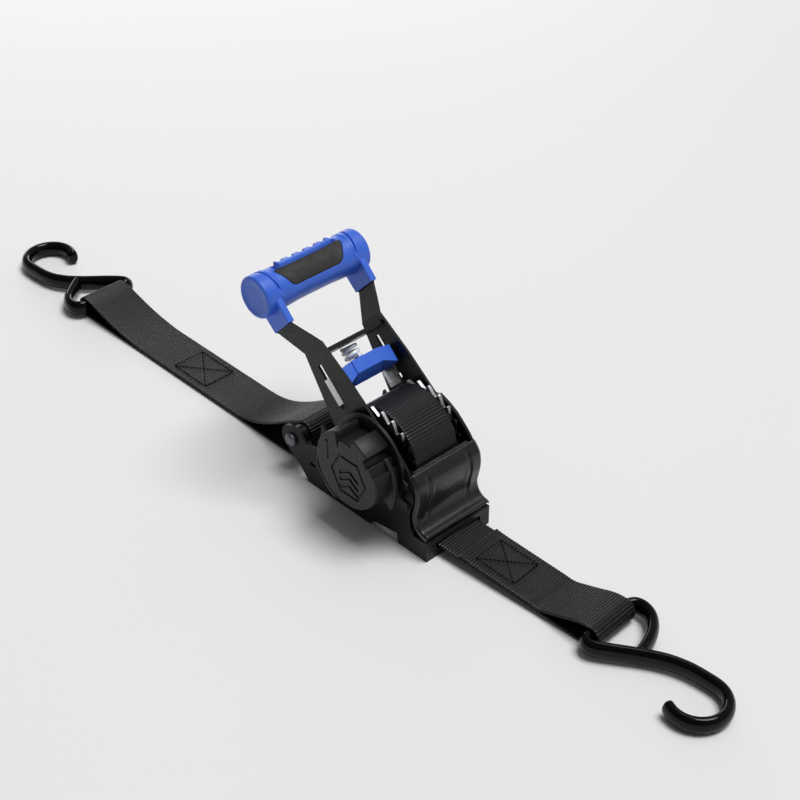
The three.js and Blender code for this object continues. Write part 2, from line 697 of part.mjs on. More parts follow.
// ---- hooks --------------------------------------------------------------------------------
// One bent wire: open hook, diagonal shank, and an eye whose end meets the shank. u runs away
// from the strap, v to the side of the hook's tip, which is -Y on the front hook.
function hookCentreLine({ side, neck, shank, closing }) {
  const { centre, r, tip, eye } = HOOK;
  const bow = arcPoints(centre, side, r, tip, neck, 24);
  const shankLine = curveXZ([bow.at(-1), ...shank, [10.2, 32.3]], 18);
  const farCorner = arcPoints(6.5, eye + 2.7, 6.5, 57, 180, 6);
  const nearCorner = arcPoints(9, -eye, 9, 180, 262, 5);
  const nearSide = curveXZ([[9, -eye - 9], [19, -31], [27, -24.5], ...closing], 10);
  return [...bow, ...shankLine.slice(1), ...farCorner, [0, 0], ...nearCorner, ...nearSide];
}

// The bar is swept round and then stretched upwards, so that its section is a standing oval.
function hookSolid(shape) {
  const stretch = WIRE.tall / WIRE.half;
  const lift = BAR_Z - WIRE.tall;
  const length = HOOK.centre + HOOK.r;
  const points = hookCentreLine(shape).map(([u, v]) => {
    const height = WIRE.tall + lift * (1 - Math.max(0, u) / length);
    return new THREE.Vector3(u, -v, height / stretch);
  });
  return roundBar(new Chain(points), WIRE.half, 12, 110).scale(1, 1, stretch);
}

function buildHooks() {
  placeOnYaw(addPiece("front_hook", hookSolid(FRONT_HOOK), GLOSS_BLACK, yawFrame), STRAP_FRONT_BAR);
  const rear = addPiece("rear_hook", hookSolid(REAR_HOOK), GLOSS_BLACK);
  rear.position.x = STRAP_REAR_BAR;
  rear.rotation.z = Math.PI;
}

buildFrame();
buildRearBolt();
buildSpool();
buildSpringCase();
buildReleaseLever();
buildHandle();
buildPawl();
buildFrontStrap();
buildStrapLead();
buildRearStrap();
buildHooks();

export default part;
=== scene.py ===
"""Looks of a retractable ratchet tie-down strap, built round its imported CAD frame."""

import json
import math

import bpy
from mathutils import Matrix, Vector


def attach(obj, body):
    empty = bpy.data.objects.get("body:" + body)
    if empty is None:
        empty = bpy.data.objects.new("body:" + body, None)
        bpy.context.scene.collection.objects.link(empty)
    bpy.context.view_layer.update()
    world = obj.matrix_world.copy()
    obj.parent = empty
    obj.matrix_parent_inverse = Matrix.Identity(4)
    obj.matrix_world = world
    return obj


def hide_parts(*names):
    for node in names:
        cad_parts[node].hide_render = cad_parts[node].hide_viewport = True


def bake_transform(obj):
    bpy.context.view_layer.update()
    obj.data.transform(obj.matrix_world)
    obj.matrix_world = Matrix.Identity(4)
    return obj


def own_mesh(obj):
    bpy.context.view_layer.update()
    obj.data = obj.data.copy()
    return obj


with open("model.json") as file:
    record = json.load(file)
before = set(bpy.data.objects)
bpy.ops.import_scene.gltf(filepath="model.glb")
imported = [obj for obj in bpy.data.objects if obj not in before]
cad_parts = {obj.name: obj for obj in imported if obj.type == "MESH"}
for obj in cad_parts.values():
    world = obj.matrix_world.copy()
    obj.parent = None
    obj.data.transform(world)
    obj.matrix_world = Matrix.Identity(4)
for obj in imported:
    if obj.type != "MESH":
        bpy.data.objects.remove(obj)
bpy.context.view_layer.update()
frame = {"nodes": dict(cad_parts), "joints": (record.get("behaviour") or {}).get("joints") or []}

# ---- driving dimensions, in millimetres where a name says nothing else ---------------------
MM = 0.001
JOINTS = {joint["name"]: joint for joint in frame["joints"]}
SPINDLE = Vector(JOINTS["handle_swing"]["pos_m"])
ALONG = Vector(JOINTS["trigger_pull"]["axis"])  # up the handle
ABOVE = Vector((ALONG.z, 0, -ALONG.x))  # out of the handle's upper side
LEVER_PIN = Vector(JOINTS["release_lever_press"]["pos_m"])
BOLT = Vector(JOINTS["rear_strap_swing"]["pos_m"])
FRONT_BAR = Vector(JOINTS["front_hook_swing"]["pos_m"])
REAR_BAR = Vector(JOINTS["rear_hook_swing"]["pos_m"])

WEB_HALF = 24  # half width
WEB_THICK = 2.4
RIB_PITCH = 2.85
RIB_DEPTH = 0.75
YARN_PITCH = 1.1
FLOOR_LAYER = 1.5  # middle height of webbing that lies on the floor
TOP_LAYER = FLOOR_LAYER + WEB_THICK
WIRE = {"half": 5.2, "tall": 8.0}  # half width and half height of the coated hook bar
SLEEVE_R = 9.3
ROUND_SLEEVE = SLEEVE_R + WEB_THICK / 2  # middle line of webbing round the rear sleeve
ROUND_BAR = WIRE["tall"] + 0.3 + WEB_THICK / 2  # middle line of webbing round a hook's bar
GUIDE = Vector((0.104, 0, 0))  # where the retracting strap leaves its guide
PAYOUT = Vector(JOINTS["webbing_payout"]["axis"])

GRIP = {"reach": 163, "drop": 3, "half": 58, "r": 19.2, "waist": 17.2, "rounding": 2.4}
PAD = {"low": 65, "high": 134, "short": 27, "long": 38, "corner": 4.5, "depth": 2.0}


# ---- mesh helpers ---------------------------------------------------------------------------
def smoothstep(low, high, value):
    t = min(1.0, max(0.0, (value - low) / (high - low)))
    return t * t * (3 - 2 * t)


def bump(value, half, edge):
    """1 within half of zero, falling to 0 over edge."""
    return 1 - smoothstep(half, half + edge, abs(value))


def mesh_object(name, points, faces):
    mesh = bpy.data.meshes.new(name)
    mesh.from_pydata(points, [], faces)
    mesh.update()
    mesh.polygons.foreach_set("use_smooth", [True] * len(mesh.polygons))
    piece = bpy.data.objects.new(name, mesh)
    bpy.context.scene.collection.objects.link(piece)
    return piece


def skin_faces(rows, columns, first=0, closed=False):
    """Quads between rings of points, each ring joined end to end, and a cap on each open end."""
    faces = []
    for i in range(rows if closed else rows - 1):
        a, b = first + i * columns, first + ((i + 1) % rows) * columns
        for j in range(columns):
            k = (j + 1) % columns
            faces.append((a + j, a + k, b + k, b + j))
    if not closed:
        faces.append(tuple(range(first + columns - 1, first - 1, -1)))
        last = first + (rows - 1) * columns
        faces.append(tuple(range(last, last + columns)))
    return faces


def skin(name, rings, smooth_angle, closed=False):
    """A piece through rings of points, with edges sharper than smooth_angle, in degrees, kept sharp."""
    points = [tuple(point) for ring in rings for point in ring]
    piece = mesh_object(name, points, skin_faces(len(rings), len(rings[0]), closed=closed))
    outward(piece)
    if smooth_angle < 180:
        piece.data.set_sharp_from_angle(angle=math.radians(smooth_angle))
    return piece


def outward(piece):
    """Turns the faces so that the piece's volume is positive."""
    mesh = piece.data
    mesh.calc_loop_triangles()
    volume = sum(
        mesh.vertices[t.vertices[0]].co.dot(
            mesh.vertices[t.vertices[1]].co.cross(mesh.vertices[t.vertices[2]].co)
        )
        for t in mesh.loop_triangles
    )
    if volume < 0:
        mesh.flip_normals()


def handle_point(s, y, n):
    """The point s up the handle and n above its middle line."""
    return SPINDLE + (ALONG * s + ABOVE * n) * MM + Vector((0, y * MM, 0))


def in_mm(point):
    """A point's X and Z in millimetres."""
    return point.x / MM, point.z / MM


def spindle_point(radius, angle, y):
    """The point at a radius and an angle, in radians, round the spindle."""
    sx, sz = in_mm(SPINDLE)
    return Vector((sx + radius * math.cos(angle), y, sz + radius * math.sin(angle))) * MM


def arc(cx, cz, r, start, end, steps):
    """Points on an arc from one angle to another, in degrees."""
    angles = [math.radians(start + (end - start) * i / steps) for i in range(steps + 1)]
    return [(cx + r * math.cos(a), cz + r * math.sin(a)) for a in angles]


def catmull(points, per_span=10):
    """A smooth line through the points."""
    ends = [points[0], *points, points[-1]]
    line = []
    for i in range(len(points) - 1):
        p0, p1, p2, p3 = (Vector(p) for p in ends[i:i + 4])
        for k in range(per_span):
            t = k / per_span
            line.append(
                0.5 * (2 * p1 + (p2 - p0) * t + (2 * p0 - 5 * p1 + 4 * p2 - p3) * t * t
                       + (3 * p1 - p0 - 3 * p2 + p3) * t ** 3)
            )
    line.append(Vector(points[-1]))
    return line


def evenly(line, step):
    """The line again, with its points step apart."""
    line = [Vector(p) for p in line]
    lengths = [0.0]
    for a, b in zip(line, line[1:]):
        lengths.append(lengths[-1] + (b - a).length)
    count = max(2, round(lengths[-1] / step))
    spaced, i = [], 0
    for k in range(count + 1):
        distance = lengths[-1] * k / count
        while i < len(line) - 2 and lengths[i + 1] < distance:
            i += 1
        span = lengths[i + 1] - lengths[i]
        t = (distance - lengths[i]) / span if span else 0
        spaced.append(line[i].lerp(line[i + 1], min(1, max(0, t))))
    return spaced


def length_of(line):
    return sum((Vector(b) - Vector(a)).length for a, b in zip(line, line[1:]))


def normal_between(before, after):
    """The normal of a line in X and Z where it runs from one point to another."""
    tangent = (after - before).normalized()
    return Vector((-tangent.y, tangent.x))


def closer_to_ends(count):
    """Places from -1 to 1 that lie closer together towards both ends."""
    return [math.sin(math.pi / 2 * (2 * j / count - 1)) for j in range(count + 1)]


def tube_rings(line, radii, sides):
    """Rings round a 3-D line, carried along it without twist."""
    rings = []
    normal = None
    for i, point in enumerate(line):
        tangent = (line[min(i + 1, len(line) - 1)] - line[max(i - 1, 0)]).normalized()
        if normal is None:
            normal = tangent.orthogonal().normalized()
        normal = (normal - tangent * normal.dot(tangent)).normalized()
        side = tangent.cross(normal)
        rings.append([
            point + (normal * math.cos(2 * math.pi * k / sides)
                     + side * math.sin(2 * math.pi * k / sides)) * radii[i]
            for k in range(sides)
        ])
    return rings


def turn_aside(piece):
    """Turns a piece about the guide, with the strap that runs out of it at a slight angle."""
    turn = Matrix.Rotation(math.atan2(PAYOUT.y, PAYOUT.x), 4, "Z")
    piece.data.transform(Matrix.Translation(GUIDE) @ turn @ Matrix.Translation(-GUIDE))


def front_bar_before_turn():
    """Where the front hook's bar is before the turn about the guide."""
    reach = (FRONT_BAR - GUIDE).to_2d().length
    return Vector((GUIDE.x + reach, 0, FRONT_BAR.z))


def add_bevel(piece, width, segments, angle):
    """Rounds the edges that turn by more than angle, in degrees."""
    modifier = piece.modifiers.new("edges", "BEVEL")
    modifier.width = width * MM
    modifier.segments = segments
    modifier.limit_method = "ANGLE"
    modifier.angle_limit = math.radians(angle)
    modifier.harden_normals = False
    normals = piece.modifiers.new("normals", "WEIGHTED_NORMAL")
    normals.keep_sharp = False


# ---- materials ------------------------------------------------------------------------------
class Finish:
    """A material with its Principled shader and short ways to add nodes."""

    def __init__(self, name, base, roughness, metallic=0.0):
        self.material = bpy.data.materials.new(name)
        self.material.use_nodes = True
        self.tree = self.material.node_tree
        self.shader = self.tree.nodes["Principled BSDF"]
        self.shader.inputs["Base Color"].default_value = (*base, 1)
        self.shader.inputs["Roughness"].default_value = roughness
        self.shader.inputs["Metallic"].default_value = metallic

    def node(self, kind, **settings):
        made = self.tree.nodes.new(kind)
        for key, value in settings.items():
            setattr(made, key, value)
        return made

    def join(self, source, target):
        self.tree.links.new(source, target)

    def place(self):
        """The piece's own coordinates."""
        return self.node("ShaderNodeTexCoord").outputs["Object"]

    def noise(self, scale, detail, stretch=None):
        made = self.node("ShaderNodeTexNoise")
        made.inputs["Scale"].default_value = scale
        made.inputs["Detail"].default_value = detail
        where = self.place()
        if stretch:
            mapping = self.node("ShaderNodeMapping")
            mapping.inputs["Scale"].default_value = stretch
            self.join(where, mapping.inputs["Vector"])
            where = mapping.outputs["Vector"]
        self.join(where, made.inputs["Vector"])
        return made.outputs["Fac"]

    def ramp(self, source, stops):
        made = self.node("ShaderNodeValToRGB")
        ramp = made.color_ramp
        while len(ramp.elements) < len(stops):
            ramp.elements.new(0.5)
        for element, (position, color) in zip(ramp.elements, stops):
            element.position = position
            element.color = (*color, 1)
        self.join(source, made.inputs["Fac"])
        return made.outputs["Color"]

    def spread(self, source, low, high, from_low=0.3, from_high=0.7):
        """Maps from_low to from_high onto low to high."""
        made = self.node("ShaderNodeMapRange")
        made.inputs["From Min"].default_value = from_low
        made.inputs["From Max"].default_value = from_high
        made.inputs["To Min"].default_value = low
        made.inputs["To Max"].default_value = high
        self.join(source, made.inputs["Value"])
        return made.outputs["Result"]

    def math(self, operation, a, b=None):
        made = self.node("ShaderNodeMath", operation=operation)
        for socket, value in zip(made.inputs, (a, b)):
            if isinstance(value, (int, float)):
                socket.default_value = value
            elif value is not None:
                self.join(value, socket)
        return made.outputs["Value"]

    def mix(self, factor, a, b):
        made = self.node("ShaderNodeMix", data_type="RGBA")
        self.join(factor, made.inputs["Factor"])
        for socket, value in zip(made.inputs[6:8], (a, b)):  # its two colours
            if isinstance(value, tuple):
                socket.default_value = (*value, 1)
            else:
                self.join(value, socket)
        return made.outputs[2]

    def color(self, source):
        self.join(source, self.shader.inputs["Base Color"])

    def roughness(self, source, low, high):
        """Roughness that drifts between low and high."""
        self.join(self.spread(source, low, high), self.shader.inputs["Roughness"])

    def specular(self, level):
        self.shader.inputs["Specular IOR Level"].default_value = level

    def clouds(self, base, scale, detail, dark, light):
        """The base colour times a factor that drifts between dark and light."""
        stops = [(0.3, scaled(base, dark)), (0.7, scaled(base, light))]
        return self.ramp(self.noise(scale, detail), stops)

    def relief(self, height, distance, strength):
        """Bump, with its distance in millimetres."""
        made = self.node("ShaderNodeBump")
        made.inputs["Strength"].default_value = strength
        made.inputs["Distance"].default_value = distance * MM
        self.join(height, made.inputs["Height"])
        self.join(made.outputs["Normal"], self.shader.inputs["Normal"])

    def edges(self, low=0.52, high=0.6):
        """1 on worn outer edges, 0 elsewhere."""
        point = self.node("ShaderNodeNewGeometry").outputs["Pointiness"]
        return self.spread(point, 0, 1, low, high)


def scaled(base, factor):
    return tuple(channel * factor for channel in base)


def black_steel():
    """Satin black coating over steel, a little lighter where edges are rubbed."""
    base = (0.0042, 0.0042, 0.0045)
    finish = Finish("black_steel", base, 0.36)
    coat = finish.clouds(base, 60, 4, 0.8, 1.35)
    wear = finish.math("MULTIPLY", finish.edges(), finish.spread(finish.noise(900, 2), 0, 0.8))
    finish.color(finish.mix(wear, coat, (0.045, 0.046, 0.048)))
    finish.roughness(finish.noise(300, 4), 0.3, 0.44)
    finish.relief(finish.noise(1800, 2), 0.05, 0.35)
    finish.specular(0.2)
    return finish.material


def lever_steel():
    """The release lever's steel, a shade lighter and smoother than the black steel."""
    base = (0.0085, 0.0085, 0.0088)
    finish = Finish("lever_steel", base, 0.32)
    finish.roughness(finish.noise(260, 4), 0.26, 0.38)
    finish.relief(finish.noise(1500, 2), 0.04, 0.3)
    return finish.material


def zinc(name, base):
    """Bright zinc plate with fine drawn lines."""
    finish = Finish(name, base, 0.28, 1.0)
    finish.color(finish.clouds(base, 140, 4, 0.72, 1))
    lines = finish.noise(500, 3, stretch=(0.3, 4, 0.3))
    finish.roughness(lines, 0.2, 0.42)
    finish.relief(lines, 0.03, 0.3)
    return finish.material


def dull_zinc():
    """Plated steel that is smeared with oil and dirt."""
    finish = Finish("dull_zinc", (0.19, 0.2, 0.21), 0.5, 1.0)
    finish.roughness(finish.noise(300, 3), 0.42, 0.6)
    return finish.material


def wheel_zinc():
    """Zinc with painted shade that darkens the wheel lower down, so that only the teeth at its top stay
    bright.
    """
    finish = Finish("wheel_zinc", (0.8, 0.82, 0.84), 0.34, 1.0)
    height = finish.node("ShaderNodeSeparateXYZ")
    finish.join(finish.place(), height.inputs["Vector"])
    # Painted shade: the colour fades from plain zinc at the upper height to near black at the lower
    # one.
    shaded_below, bright_above = 0.101, 0.116  # in metres
    unshaded = finish.spread(height.outputs["Z"], 0, 1, shaded_below, bright_above)
    finish.color(finish.mix(unshaded, (0.012, 0.012, 0.013), (0.8, 0.82, 0.84)))
    finish.roughness(finish.noise(300, 3), 0.3, 0.45)
    return finish.material


def painted_lit_zinc():
    """Painted light: a near-white, almost non-metallic stand-in for lit zinc on the pawl spring and the
    pawl's flanges.
    """
    finish = Finish("painted_lit_zinc", (0.96, 0.97, 0.98), 0.3, 0.05)
    finish.roughness(finish.noise(700, 2), 0.24, 0.36)
    return finish.material


def blue_plastic():
    """Moulded plastic, paler where edges are rubbed."""
    base = (0.040, 0.140, 0.68)
    finish = Finish("blue_plastic", base, 0.4)
    moulded = finish.clouds(base, 45, 3, 0.93, 1.06)
    wear = finish.math("MULTIPLY", finish.edges(0.53, 0.66), 0.25)
    finish.color(finish.mix(wear, moulded, (0.10, 0.22, 0.78)))
    finish.roughness(finish.noise(250, 3), 0.34, 0.46)
    finish.relief(finish.noise(2600, 2), 0.05, 0.3)
    return finish.material


def grip_rubber():
    """Soft grained rubber."""
    base = (0.021, 0.0205, 0.0195)
    finish = Finish("grip_rubber", base, 0.7)
    finish.color(finish.clouds(base, 90, 5, 0.8, 1.5))
    grain = finish.node("ShaderNodeTexVoronoi")
    grain.inputs["Scale"].default_value = 1500
    finish.join(finish.place(), grain.inputs["Vector"])
    finish.roughness(finish.noise(200, 3), 0.6, 0.8)
    finish.relief(grain.outputs["Distance"], 0.12, 0.6)
    return finish.material


def black_plastic():
    """Moulded case plastic with a fine spark-eroded texture."""
    base = (0.0056, 0.0057, 0.006)
    finish = Finish("black_plastic", base, 0.42)
    finish.specular(0.32)
    moulded = finish.clouds(base, 70, 4, 0.85, 1.25)
    wear = finish.math("MULTIPLY", finish.edges(), 0.35)
    finish.color(finish.mix(wear, moulded, (0.04, 0.04, 0.042)))
    finish.roughness(finish.noise(350, 3), 0.36, 0.52)
    finish.relief(finish.noise(3200, 2), 0.06, 0.4)
    return finish.material


def webbing():
    """Woven polyester: ribs across the strap and fine yarns along it, laid out by the piece's UV, with
    painted shade darkening the valleys between the ribs.
    """
    base = (0.0058, 0.0064, 0.0080)
    finish = Finish("webbing", base, 0.5)
    parts = finish.node("ShaderNodeSeparateXYZ")
    finish.join(finish.node("ShaderNodeUVMap", uv_map="weave").outputs["UV"], parts.inputs["Vector"])
    across, along = parts.outputs["X"], parts.outputs["Y"]
    rib_turn = finish.math("MULTIPLY", along, math.pi / (RIB_PITCH * MM))
    rib = finish.math("ABSOLUTE", finish.math("SINE", rib_turn))
    yarn_turn = finish.math("MULTIPLY", across, 2 * math.pi / (YARN_PITCH * MM))
    yarn = finish.math("SINE", finish.math("ADD", yarn_turn, rib_turn))
    fibre = finish.noise(5200, 2)
    height = finish.math("ADD", finish.math("MULTIPLY", yarn, 0.35), fibre)
    # Painted shade: the colour drops to near black in the valleys between the ribs.
    shaded_valley = finish.ramp(rib, [(0.0, scaled(base, 0.05)), (0.8, base)])
    tuft = finish.spread(yarn, 0.0, 0.4, -1, 1)
    finish.color(finish.mix(tuft, shaded_valley, scaled(base, 1.6)))
    finish.roughness(finish.noise(400, 3), 0.27, 0.36)
    finish.relief(height, 0.07, 0.5)
    finish.specular(0.3)
    finish.shader.inputs["Sheen Weight"].default_value = 0.06
    finish.shader.inputs["Sheen Roughness"].default_value = 0.4
    return finish.material


def thread():
    """Matt sewing thread, darker than the webbing."""
    finish = Finish("thread", (0.0025, 0.0025, 0.003), 0.7)
    finish.relief(finish.noise(6000, 2), 0.05, 0.5)
    finish.roughness(finish.noise(900, 2), 0.6, 0.8)
    finish.specular(0.08)
    return finish.material


def coated_wire():
    """Thick dipped coating: glossy, with slow ripples."""
    base = (0.0014, 0.0014, 0.0015)
    finish = Finish("coated_wire", base, 0.08)
    finish.color(finish.clouds(base, 55, 3, 1, 1.5))
    finish.roughness(finish.noise(220, 4), 0.05, 0.1)
    finish.relief(finish.noise(120, 2), 0.05, 0.15)
    finish.specular(0.21)
    return finish.material


MATERIALS = {
    "black_steel": black_steel(),
    "lever_steel": lever_steel(),
    "zinc": zinc("zinc", (0.72, 0.74, 0.77)),
    "spring_steel": zinc("spring_steel", (0.62, 0.64, 0.67)),
    "dull_zinc": dull_zinc(),
    "wheel_zinc": wheel_zinc(),
    # Near-white stand-in for lit zinc: painted light.
    "painted_lit_zinc": painted_lit_zinc(),
    "blue_plastic": blue_plastic(),
    "grip_rubber": grip_rubber(),
    "black_plastic": black_plastic(),
    "webbing": webbing(),
    "thread": thread(),
    "coated_wire": coated_wire(),
}


def finish_piece(piece, body, slot, *nodes, material=None):
    """Gives a piece its material and its body, and hides the CAD nodes that it stands for."""
    piece.data.materials.clear()
    piece.data.materials.append(MATERIALS[material or slot])
    if body:
        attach(piece, body)
    if nodes:
        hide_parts(*nodes)
    return piece


# ---- CAD nodes that stay --------------------------------------------------------------------
KEPT = {
    "black_steel": [
        "frame_plate_left", "frame_plate_right", "frame_base_plate", "front_strap_guide",
        "rear_sleeve", "lever_pin", "spindle_end_ring", "lever_pin_clip_left",
        "lever_pin_clip_right", "handle_plate_left", "handle_plate_right", "handle_crossbar",
    ],
    "zinc": [
        "rear_bolt", "rear_bolt_washer", "rear_bolt_nut", "spindle_half_upper", "spindle_half_lower",
        "ratchet_wheel_left", "ratchet_wheel_right", "spindle_washer", "case_rivet_1", "case_rivet_2",
        "case_rivet_3", "locking_pawl", "drive_pawl",
    ],
    "black_plastic": ["spring_case_base", "spring_arbor"],
    "spring_steel": ["return_spring"],
}
# Nodes whose material isn't the one that has their slot's name.
SPECIAL = {
    # The wheels' material carries painted shade that darkens them lower down.
    "ratchet_wheel_left": "wheel_zinc",
    "ratchet_wheel_right": "wheel_zinc",
    "rear_bolt": "dull_zinc",
}


def dress_kept_nodes():
    """Gives the CAD nodes that stay their materials, and rounds their edges."""
    for slot, names in KEPT.items():
        for name in names:
            node = frame["nodes"][name]
            node.data.materials.clear()
            node.data.materials.append(MATERIALS[SPECIAL.get(name, slot)])
            node.data.polygons.foreach_set("use_smooth", [True] * len(node.data.polygons))
            weld = node.modifiers.new("weld", "WELD")
            weld.merge_threshold = 0.00002
            add_bevel(node, width=0.35, segments=2, angle=32)


# ---- webbing --------------------------------------------------------------------------------
def web_section():
    """The section's upper half: (distance across, share of the half thickness)."""
    rim = [(WEB_HALF, 0.3), (WEB_HALF - 0.25, 0.72), (WEB_HALF - 0.8, 0.98), (WEB_HALF - 2.2, 1.04)]
    inside = [(y, 1.0) for y in (18, 12, 6, 0)]
    right = rim + inside
    return right + [(-y, share) for y, share in reversed(right[:-1])]


def web_strip(name, line, step, closed=False):
    """A strap along a line in X and Z, with real ribs across it."""
    line = evenly(line, step)
    if closed:
        line = line[:-1]
    section = web_section()
    count = len(line)
    rings, distances = [], []
    travelled = 0.0
    for i, point in enumerate(line):
        before = line[i - 1] if closed or i else point
        after = line[(i + 1) % count] if closed or i < count - 1 else point
        normal = normal_between(before, after)
        if i:
            travelled += (point - line[i - 1]).length
        rib = abs(math.sin(math.pi * travelled / RIB_PITCH))
        half = WEB_THICK / 2 - RIB_DEPTH + RIB_DEPTH * rib
        upper = [(y, half * share) for y, share in section]
        lower = [(y, -half * share) for y, share in reversed(section)]
        rings.append([
            Vector((point.x + normal.x * n, y, point.y + normal.y * n)) * MM for y, n in upper + lower
        ])
        distances.append(travelled)
    piece = skin(name, rings, closed=closed, smooth_angle=180)
    lay_uv(piece, [y for y, _ in upper + lower], distances, closed)
    return piece


def lay_uv(piece, across, distances, closed):
    """UV in metres: across the webbing and along it."""
    mesh = piece.data
    layer = mesh.uv_layers.new(name="weave")
    columns, rows = len(across), len(distances)
    total = distances[-1] + (distances[1] - distances[0])
    for polygon in mesh.polygons:
        stations = [mesh.loops[k].vertex_index // columns for k in polygon.loop_indices]
        wraps = closed and min(stations) == 0 and max(stations) == rows - 1
        for k, station in zip(polygon.loop_indices, stations):
            column = mesh.loops[k].vertex_index % columns
            distance = total if wraps and station == 0 else distances[station]
            layer.data[k].uv = (across[column] * MM, distance * MM)


def rear_strap_line():
    """Closed loop: along the floor, up round the bolt's sleeve, back down, and round the hook's bar."""
    bx, bz = in_mm(BOLT)
    hx, hz = in_mm(REAR_BAR)
    rise = catmull([
        (-112, FLOOR_LAYER), (-100, FLOOR_LAYER), (-88, 2.0), (-76, 5.2), (-64.5, 12.6),
        (-58.2, 22.5), (bx + ROUND_SLEEVE, bz),
    ])
    fall = catmull([
        *arc(bx, bz, ROUND_SLEEVE, 108, 124, 1), (-92, 34.0), (-108, 24.0), (-124, 15.2),
        (-140, 8.6), (-156, 4.9), (-172, TOP_LAYER), (-190, TOP_LAYER),
    ])
    flare = catmull([
        (-296, TOP_LAYER), (-314, TOP_LAYER + 0.2), (-336, 6.4), (-357, 10.4), (-376, 15.4),
        (-390, hz + ROUND_BAR - 1.2), (hx, hz + ROUND_BAR),
    ])
    return [
        (-240, FLOOR_LAYER), (-180, FLOOR_LAYER),
        *rise, *arc(bx, bz, ROUND_SLEEVE, 6, 100, 22), *fall, *flare,
        *arc(hx, hz, ROUND_BAR, 98, 262, 36),
        (hx + 6, FLOOR_LAYER), (-320, FLOOR_LAYER), (-240, FLOOR_LAYER),
    ]


def front_slope(x):
    """Middle height of the front strap's lower layer, from the guide down to the hook's bar."""
    return 11 - 9.5 * min(1, max(0, (x - 110) / 144))


def front_strap_line():
    """From inside the guide down to the hook's bar, round it and back to the sewn tail."""
    hx, hz = in_mm(front_bar_before_turn())
    lower = [(x, front_slope(x)) for x in (36, 70, 100, 109, 118, 140, 180, 220, 246, 254)]
    upper = [(x, front_slope(x) + WEB_THICK) for x in (212, 200, 180, 150, 138)]
    up = catmull([
        (hx, hz + ROUND_BAR), (257, hz + ROUND_BAR - 0.4), (249, 18.4), (238, 14.5), (225, 10.3),
        *upper,
    ])
    tail = [(131, front_slope(131) + WEB_THICK + 0.3), (126.5, front_slope(126) + WEB_THICK + 0.8)]
    return [*catmull(lower), *arc(hx, hz, ROUND_BAR, 266, 450, 40), *up[1:], *tail]


def strap_lead_line():
    """The slack webbing between the bottom of the roll and the strap's inner end."""
    sx, sz = in_mm(SPINDLE)
    return catmull([
        (sx - 6, sz - 42.1), (sx - 13, sz - 41.8), (17.5, 27.5), (15.8, 21), (19, 14.6),
        (26, 11.6), (35.8, 11),
    ])


def roll_line():
    """The wound webbing, from the split spindle outwards: a spiral that ends at the bottom."""
    sx, sz = in_mm(SPINDLE)
    inner, outer = 10.8, 39.1
    turns, per_turn = 11.75, 90
    steps = int(turns * per_turn)
    line = []
    for i in range(steps + 1):
        turn = turns * i / steps
        radius = inner + (outer - inner) * min(1.0, turn / (turns - 1))
        angle = 2 * math.pi * turn
        line.append((sx + radius * math.cos(angle), sz + radius * math.sin(angle)))
    return line


def follow_strap(lead):
    """Leads the slack end of the webbing sideways to where the turned strap begins."""
    straight, turned = 0.018, 0.036  # along X, in metres
    for vertex in lead.data.vertices:
        share = smoothstep(straight, turned, vertex.co.x)
        vertex.co.y += (vertex.co.x - GUIDE.x) * PAYOUT.y / PAYOUT.x * share


STITCH_SIDES = 6


def stitch_rings(start, end, radius, sink):
    """One stitch: a short thread that dips into the cloth at both ends."""
    shares = (0.35, 0.8, 1, 1, 1, 0.8, 0.35)  # of the radius, from end to end
    line = []
    for k in range(len(shares)):
        t = k / (len(shares) - 1)
        lift = radius * 0.95 - sink * (2 * t - 1) ** 4
        line.append(start.lerp(end, t) + Vector((0, 0, lift)))
    return tube_rings(line, [radius * share for share in shares], STITCH_SIDES)


def stitching(name, lines, body, height_at):
    """Rows of stitches along straight lines, each ((x, y), (x, y)), on a surface of given height."""
    pitch, gap, radius, sink = 3.4, 0.9, 0.5, 0.7
    points, faces = [], []
    for (x0, y0), (x1, y1) in lines:
        a, b = Vector((x0, y0, height_at(x0))), Vector((x1, y1, height_at(x1)))
        count = max(1, round((b - a).length / pitch))
        step = (b - a) / count
        trim = step.normalized() * gap / 2
        for k in range(count):
            rings = stitch_rings(a + step * k + trim, a + step * (k + 1) - trim, radius, sink)
            faces += skin_faces(len(rings), STITCH_SIDES, len(points))
            points += [tuple(p * MM) for ring in rings for p in ring]
    piece = mesh_object(name, points, faces)
    return finish_piece(piece, body, "webbing", material="thread")


def box_and_cross(x0, x1, half):
    """The four sides and two diagonals of a sewn box."""
    corners = [(x0, -half), (x1, -half), (x1, half), (x0, half)]
    sides = list(zip(corners, corners[1:] + corners[:1]))
    return sides + [(corners[0], corners[2]), (corners[1], corners[3])]


def build_straps():
    rear_line = rear_strap_line()
    step = RIB_PITCH / 6
    rear = web_strip("rear_strap_webbing", rear_line, step, closed=True)
    finish_piece(rear, "rear_strap", "webbing", "rear_strap")
    rear_sewing = stitching("rear_strap_stitching", box_and_cross(-265, -218, 17), "rear_strap",
                            lambda x: TOP_LAYER + WEB_THICK / 2)

    front_line = front_strap_line()
    front = web_strip("front_strap_webbing", front_line, step)
    finish_piece(front, "front_strap", "webbing", "front_strap")
    front_sewing = stitching("front_strap_stitching", box_and_cross(138, 179, 16), "front_strap",
                             lambda x: front_slope(x) + 1.5 * WEB_THICK)
    turn_aside(front)
    turn_aside(front_sewing)

    lead_line = strap_lead_line()
    lead = web_strip("strap_lead_webbing", lead_line, step)
    follow_strap(lead)
    finish_piece(lead, None, "webbing", "strap_lead")
    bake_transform(lead)

    wound = roll_line()
    roll = web_strip("webbing_roll_layers", wound, step * 1.3)
    finish_piece(roll, "spool", "webbing", "webbing_roll")


# ---- hooks ----------------------------------------------------------------------------------
HOOK = {"centre": 103.5, "r": 24.2, "tip": 127, "eye": 24.3, "sides": 28}
